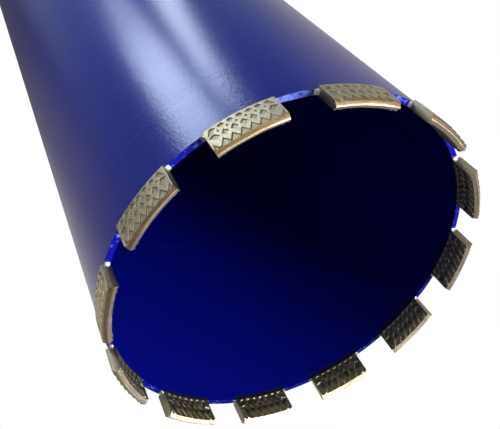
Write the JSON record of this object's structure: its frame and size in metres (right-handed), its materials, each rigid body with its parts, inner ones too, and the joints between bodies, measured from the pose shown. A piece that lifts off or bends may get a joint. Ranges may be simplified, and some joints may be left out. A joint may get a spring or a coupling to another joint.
{
  "type": "diamond core bit",
  "caption": "Thin-walled blue steel barrel with roof-shaped, pocketed diamond segments welded round its mouth and a threaded hub at its back, for wet core drilling in concrete.",
  "frame": {"origin": "centre of the mouth, in the plane of the segment tips", "axes": "+Z along the barrel's axis from the mouth to the hub, +X through the middle of segment_01"},
  "size_m": [0.152, 0.152, 0.444],
  "materials": {
    "blue_paint": "thin satin blue paint over drawn steel",
    "sintered_metal": "rough sintered metal powder with diamond grit",
    "bare_steel": "bare turned or welded steel"
  },
  "bodies": {
    "root": {"tube": "blue_paint", "segment_01": "sintered_metal", "segment_02": "sintered_metal", "segment_03": "sintered_metal", "segment_04": "sintered_metal", "segment_05": "sintered_metal", "segment_06": "sintered_metal", "segment_07": "sintered_metal", "segment_08": "sintered_metal", "segment_09": "sintered_metal", "segment_10": "sintered_metal", "segment_11": "sintered_metal", "segment_12": "sintered_metal", "segment_welds": "bare_steel", "back_plate": "blue_paint", "hub": "bare_steel"}
  },
  "joints": []
}
